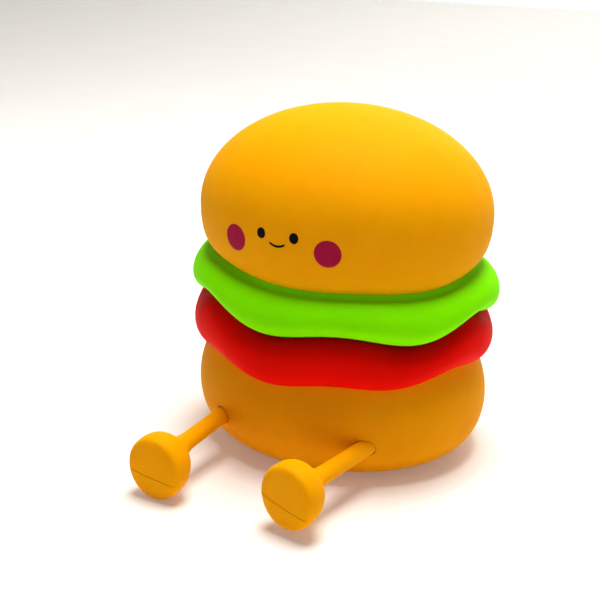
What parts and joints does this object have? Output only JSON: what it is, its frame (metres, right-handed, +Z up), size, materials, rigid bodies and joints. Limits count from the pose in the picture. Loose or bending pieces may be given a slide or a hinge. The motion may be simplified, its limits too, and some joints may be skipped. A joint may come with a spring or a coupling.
{
  "type": "novelty lamp",
  "caption": "Burger-shaped soft silicone night lamp with a press-down top, a rear charging port and two swivelling legs that prop a mobile phone.",
  "frame": {"origin": "centre of the underside pad, on the table", "axes": "+Z up; the face and the legs point to -Y; +X is to the right seen from the front"},
  "size_m": [0.1212, 0.1389, 0.132],
  "materials": {
    "amber_silicone": "matte soft-touch moulded silicone, amber yellow",
    "lime_silicone": "matte soft-touch moulded silicone, lime green",
    "tomato_silicone": "matte soft-touch moulded silicone, tomato red",
    "black_rubber": "dense anti-slip rubber",
    "white_abs": "fine-textured moulded ABS",
    "frosted_pc": "frosted translucent polycarbonate",
    "black_plastic": "moulded black nylon",
    "zinc_steel": "zinc-plated steel",
    "spring_steel": "spring steel wire",
    "stainless": "stainless steel shell",
    "green_board": "solder-masked FR4 board",
    "white_board": "white solder-masked aluminium-core board",
    "led_phosphor": "phosphor-filled LED packages",
    "battery_foil": "laminated aluminium pouch",
    "foam_tape": "double-sided foam tape",
    "red_lead": "PVC-insulated lead"
  },
  "bodies": {
    "lamp_body": {"base_pad": "black_rubber", "base_plate": "white_abs", "base_screws": "zinc_steel", "core_housing": "white_abs", "bottom_bun_skin": "amber_silicone", "tomato_ring": "tomato_silicone", "lettuce_ring": "lime_silicone", "led_deck": "white_abs", "switch_board": "green_board", "tact_body": "black_plastic", "led_board": "white_board", "led_chips": "led_phosphor", "shoulder_screws": "zinc_steel", "battery_tape": "foam_tape", "battery_cell": "battery_foil", "control_board": "green_board", "control_chips": "black_plastic", "usb_socket": "stainless", "slide_switch": "stainless", "port_bezel": "white_abs", "battery_lead": "red_lead", "led_lead": "red_lead", "switch_lead": "red_lead", "left_leg_socket": "white_abs", "right_leg_socket": "white_abs", "return_spring_1": "spring_steel", "return_spring_2": "spring_steel", "return_spring_3": "spring_steel"},
    "press_top": {"top_bun_skin": "amber_silicone", "press_spider": "white_abs", "diffuser_dome": "frosted_pc", "tact_button": "black_plastic"},
    "left_leg": {"left_leg_stem": "amber_silicone", "left_foot": "amber_silicone", "left_leg_rod": "zinc_steel", "left_leg_spigot": "white_abs"},
    "right_leg": {"right_leg_stem": "amber_silicone", "right_foot": "amber_silicone", "right_leg_rod": "zinc_steel", "right_leg_spigot": "white_abs"},
    "switch_knob": {"power_knob": "black_plastic"}
  },
  "joints": [
    {"name": "top_press", "type": "slide", "parent": "lamp_body", "child": "press_top", "axis": [0, 0, -1], "range_m": [0, 0.001], "stiffness_N_per_m": 1500, "springref_m": -0.002, "deforming": ["return_spring_1", "return_spring_2", "return_spring_3"]},
    {"name": "left_leg_turn", "type": "hinge", "parent": "lamp_body", "child": "left_leg", "pos_m": [-0.0296, -0.04304, 0.0167], "axis": [-0.0279, -0.999, -0.0349], "continuous": true},
    {"name": "right_leg_turn", "type": "hinge", "parent": "lamp_body", "child": "right_leg", "pos_m": [0.0296, -0.04304, 0.0167], "axis": [-0.201, -0.979, -0.0349], "continuous": true},
    {"name": "power_slide", "type": "slide", "parent": "lamp_body", "child": "switch_knob", "axis": [1, 0, 0], "range_m": [0, 0.002]}
  ]
}
